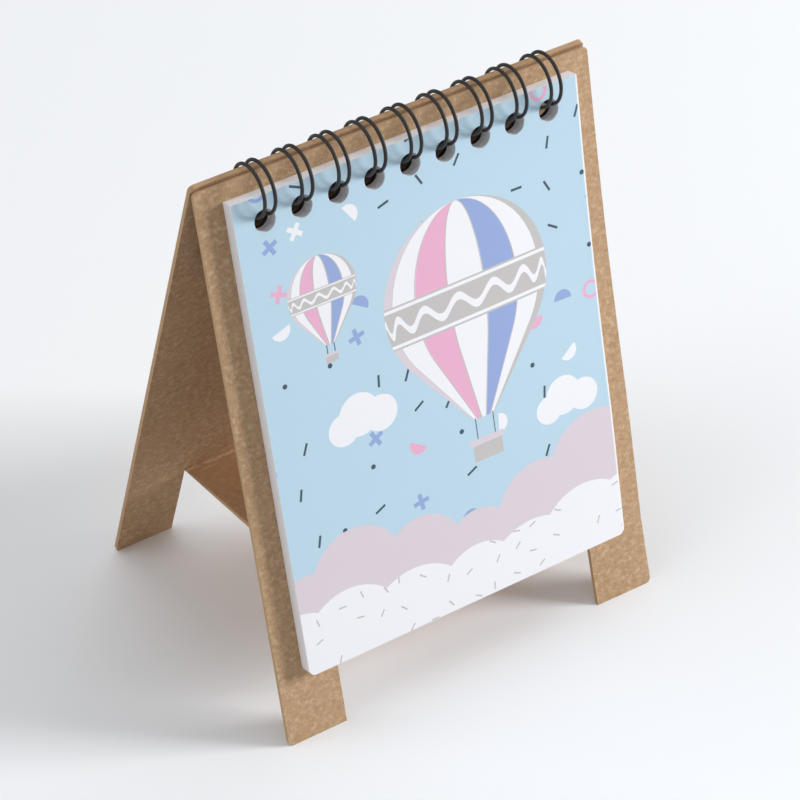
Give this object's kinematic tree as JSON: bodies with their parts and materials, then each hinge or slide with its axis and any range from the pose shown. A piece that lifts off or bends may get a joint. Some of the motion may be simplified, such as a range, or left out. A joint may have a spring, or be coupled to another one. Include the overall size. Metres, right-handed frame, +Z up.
{
  "type": "desk calendar",
  "caption": "Small easel desk calendar: kraft board stand with a scored base, black twin-loop wire binding and a pad of month leaves under a printed cover.",
  "frame": {"origin": "on the floor under the middle of the stand's footprint", "axes": "+Z up, the pad faces -Y, +X to the right of someone who looks at the pad"},
  "size_m": [0.0934, 0.0716, 0.1245],
  "materials": {
    "kraft_board": "uncoated kraft board",
    "binding_wire": "black coated steel wire",
    "cover_print": "printed card, satin",
    "leaf_paper": "white offset paper"
  },
  "bodies": {
    "front_panel": {"front_panel": "kraft_board", "wire_binding": "binding_wire"},
    "back_panel": {"back_panel": "kraft_board"},
    "base_front": {"base_front": "kraft_board"},
    "base_rear": {"base_rear": "kraft_board"},
    "cover_leaf": {"cover_leaf": "cover_print"},
    "month_leaf_01": {"month_leaf_01": "leaf_paper"},
    "month_leaf_02": {"month_leaf_02": "leaf_paper"},
    "month_leaf_03": {"month_leaf_03": "leaf_paper"},
    "month_leaf_04": {"month_leaf_04": "leaf_paper"},
    "month_leaf_05": {"month_leaf_05": "leaf_paper"},
    "month_leaf_06": {"month_leaf_06": "leaf_paper"},
    "month_leaf_07": {"month_leaf_07": "leaf_paper"},
    "month_leaf_08": {"month_leaf_08": "leaf_paper"},
    "month_leaf_09": {"month_leaf_09": "leaf_paper"},
    "month_leaf_10": {"month_leaf_10": "leaf_paper"},
    "month_leaf_11": {"month_leaf_11": "leaf_paper"},
    "month_leaf_12": {"month_leaf_12": "leaf_paper"}
  },
  "joints": [
    {"name": "easel_fold", "type": "hinge", "parent": "front_panel", "child": "back_panel", "pos_m": [0, -0.00286, 0.1186], "axis": [-1, 0, 0], "range_deg": [0, 30], "deforming": ["base_front", "base_rear"]},
    {"name": "base_front_crease", "type": "hinge", "parent": "front_panel", "child": "base_front", "pos_m": [0, -0.0283, 0.0221], "axis": [1, 0, 0], "range_deg": [0, 72], "deforming": ["base_front"]},
    {"name": "base_rear_crease", "type": "hinge", "parent": "back_panel", "child": "base_rear", "pos_m": [0, 0.0283, 0.0221], "axis": [-1, 0, 0], "range_deg": [0, 72], "deforming": ["base_rear"]},
    {"name": "cover_turn", "type": "hinge", "parent": "front_panel", "child": "cover_leaf", "pos_m": [0, -0.00716, 0.13046], "axis": [-1, 0, 0], "range_deg": [0, 328], "deforming": ["cover_leaf"]},
    {"name": "month_01_turn", "type": "hinge", "parent": "front_panel", "child": "month_leaf_01", "pos_m": [0, -0.00716, 0.13046], "axis": [-1, 0, 0], "range_deg": [0, 328], "deforming": ["month_leaf_01"]},
    {"name": "month_02_turn", "type": "hinge", "parent": "front_panel", "child": "month_leaf_02", "pos_m": [0, -0.00716, 0.13046], "axis": [-1, 0, 0], "range_deg": [0, 328], "deforming": ["month_leaf_02"]},
    {"name": "month_03_turn", "type": "hinge", "parent": "front_panel", "child": "month_leaf_03", "pos_m": [0, -0.00716, 0.13046], "axis": [-1, 0, 0], "range_deg": [0, 328], "deforming": ["month_leaf_03"]},
    {"name": "month_04_turn", "type": "hinge", "parent": "front_panel", "child": "month_leaf_04", "pos_m": [0, -0.00716, 0.13046], "axis": [-1, 0, 0], "range_deg": [0, 328], "deforming": ["month_leaf_04"]},
    {"name": "month_05_turn", "type": "hinge", "parent": "front_panel", "child": "month_leaf_05", "pos_m": [0, -0.00716, 0.13046], "axis": [-1, 0, 0], "range_deg": [0, 328], "deforming": ["month_leaf_05"]},
    {"name": "month_06_turn", "type": "hinge", "parent": "front_panel", "child": "month_leaf_06", "pos_m": [0, -0.00716, 0.13046], "axis": [-1, 0, 0], "range_deg": [0, 328], "deforming": ["month_leaf_06"]},
    {"name": "month_07_turn", "type": "hinge", "parent": "front_panel", "child": "month_leaf_07", "pos_m": [0, -0.00716, 0.13046], "axis": [-1, 0, 0], "range_deg": [0, 328], "deforming": ["month_leaf_07"]},
    {"name": "month_08_turn", "type": "hinge", "parent": "front_panel", "child": "month_leaf_08", "pos_m": [0, -0.00716, 0.13046], "axis": [-1, 0, 0], "range_deg": [0, 328], "deforming": ["month_leaf_08"]},
    {"name": "month_09_turn", "type": "hinge", "parent": "front_panel", "child": "month_leaf_09", "pos_m": [0, -0.00716, 0.13046], "axis": [-1, 0, 0], "range_deg": [0, 328], "deforming": ["month_leaf_09"]},
    {"name": "month_10_turn", "type": "hinge", "parent": "front_panel", "child": "month_leaf_10", "pos_m": [0, -0.00716, 0.13046], "axis": [-1, 0, 0], "range_deg": [0, 328], "deforming": ["month_leaf_10"]},
    {"name": "month_11_turn", "type": "hinge", "parent": "front_panel", "child": "month_leaf_11", "pos_m": [0, -0.00716, 0.13046], "axis": [-1, 0, 0], "range_deg": [0, 328], "deforming": ["month_leaf_11"]},
    {"name": "month_12_turn", "type": "hinge", "parent": "front_panel", "child": "month_leaf_12", "pos_m": [0, -0.00716, 0.13046], "axis": [-1, 0, 0], "range_deg": [0, 328], "deforming": ["month_leaf_12"]}
  ],
  "couplings": [
    {"joint": "base_front_crease", "follows": "easel_fold", "ratio": 2.19},
    {"joint": "base_rear_crease", "follows": "easel_fold", "ratio": 2.19}
  ]
}
